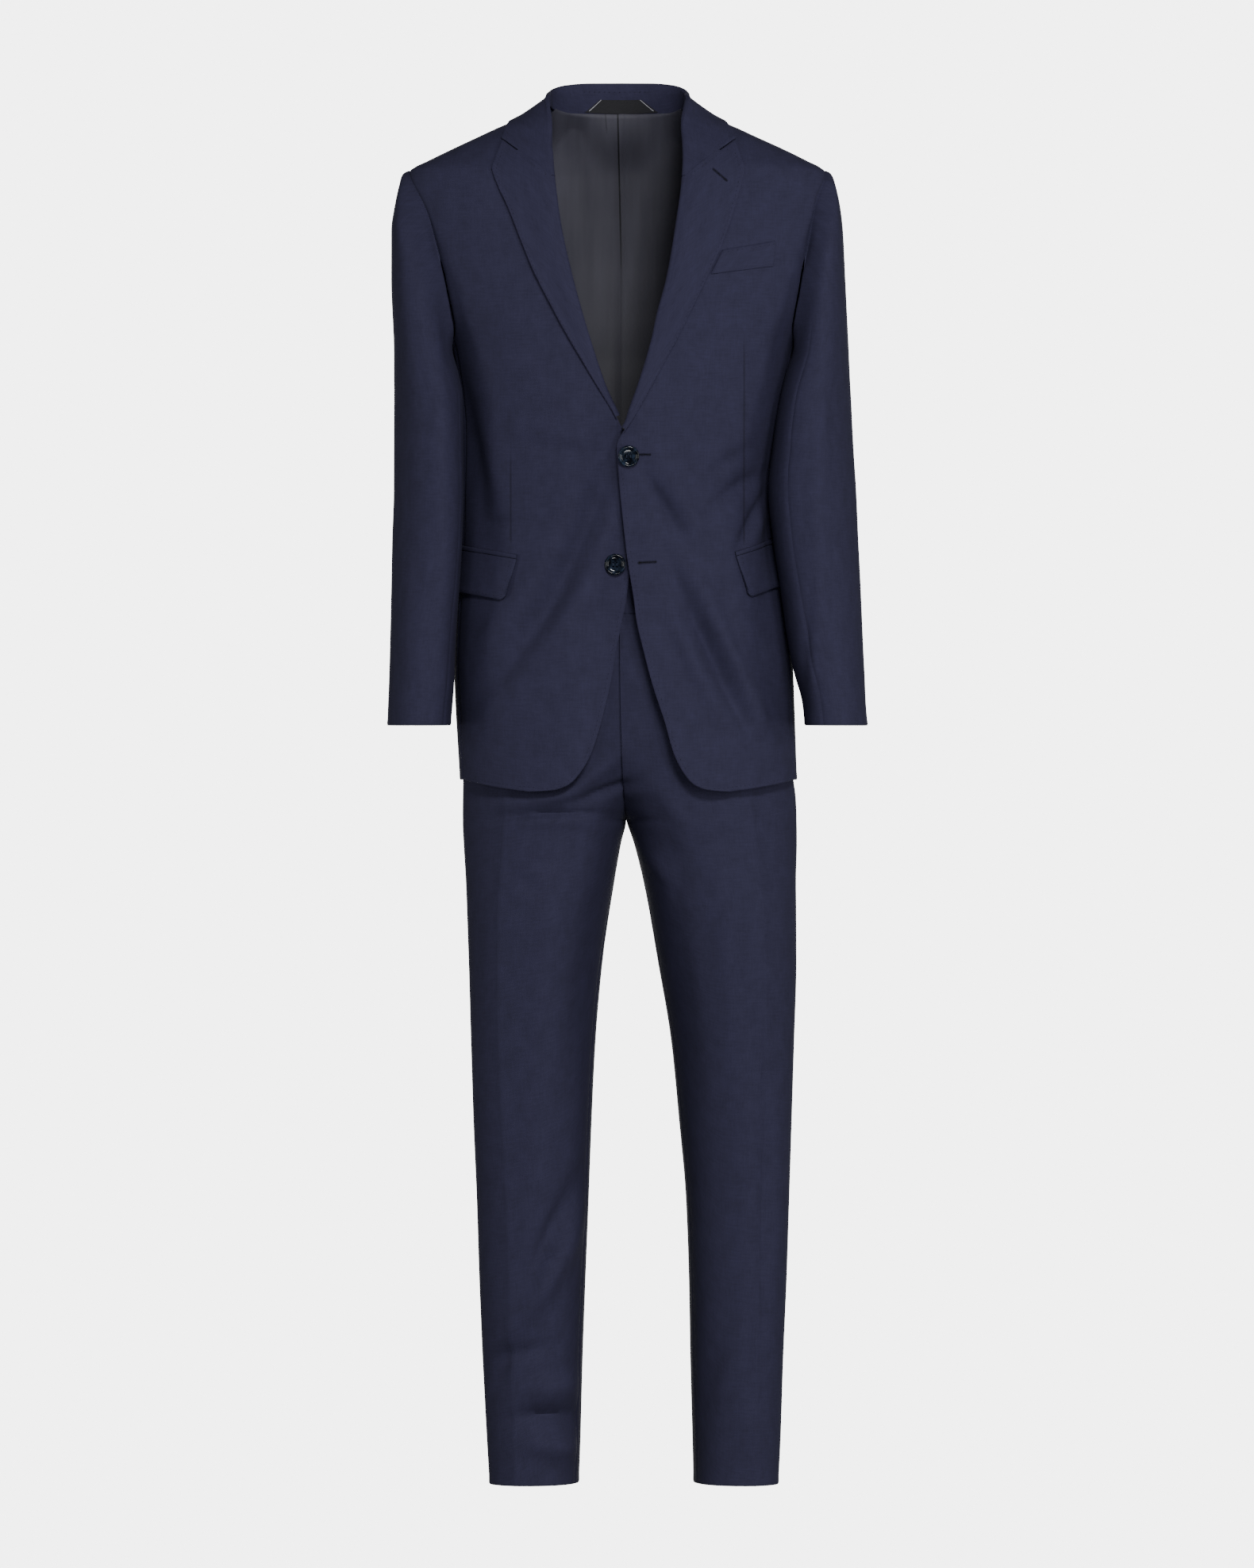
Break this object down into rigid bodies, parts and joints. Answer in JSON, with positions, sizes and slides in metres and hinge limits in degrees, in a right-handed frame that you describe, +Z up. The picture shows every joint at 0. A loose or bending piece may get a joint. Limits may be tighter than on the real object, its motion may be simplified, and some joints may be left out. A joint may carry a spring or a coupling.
{
  "type": "two-piece suit",
  "caption": "Slim suit, hollow and filled out as worn: a single-breasted jacket with notch lapels, flap pockets and a chest welt over flat-front trousers with creases.",
  "frame": {"origin": "at the height of the back neck seam, midway through the neck opening, where the wearer's shoulders carry the jacket", "axes": "+Z up, along the suit's height; +Y to the suit's back, so its front faces -Y; +X to the wearer's left"},
  "size_m": [0.5227, 0.2548, 1.5248],
  "materials": {
    "navy_wool": "matt, faintly slubbed worsted wool",
    "navy_trouser_wool": "matt, faintly slubbed worsted wool",
    "charcoal_lining": "smooth satin with a soft sheen",
    "black_label": "matt woven label, bare",
    "navy_button": "polished, faintly marbled horn resin"
  },
  "bodies": {
    "root": {"jacket_front_left": "navy_wool", "jacket_front_right": "navy_wool", "jacket_side_left": "navy_wool", "jacket_side_right": "navy_wool", "jacket_back_left": "navy_wool", "jacket_back_right": "navy_wool", "lapel_left": "navy_wool", "lapel_right": "navy_wool", "collar": "navy_wool", "chest_welt": "navy_wool", "pocket_jet_left": "navy_wool", "pocket_jet_right": "navy_wool", "flap_left": "navy_wool", "flap_right": "navy_wool", "sleeve_top_left": "navy_wool", "sleeve_top_right": "navy_wool", "sleeve_under_left": "navy_wool", "sleeve_under_right": "navy_wool", "trouser_front_left": "navy_trouser_wool", "trouser_front_right": "navy_trouser_wool", "trouser_back_left": "navy_trouser_wool", "trouser_back_right": "navy_trouser_wool", "waistband_left": "navy_trouser_wool", "waistband_right": "navy_trouser_wool", "back_lining_left": "charcoal_lining", "back_lining_right": "charcoal_lining", "neck_label": "black_label", "button_upper": "navy_button", "button_lower": "navy_button"}
  },
  "joints": []
}
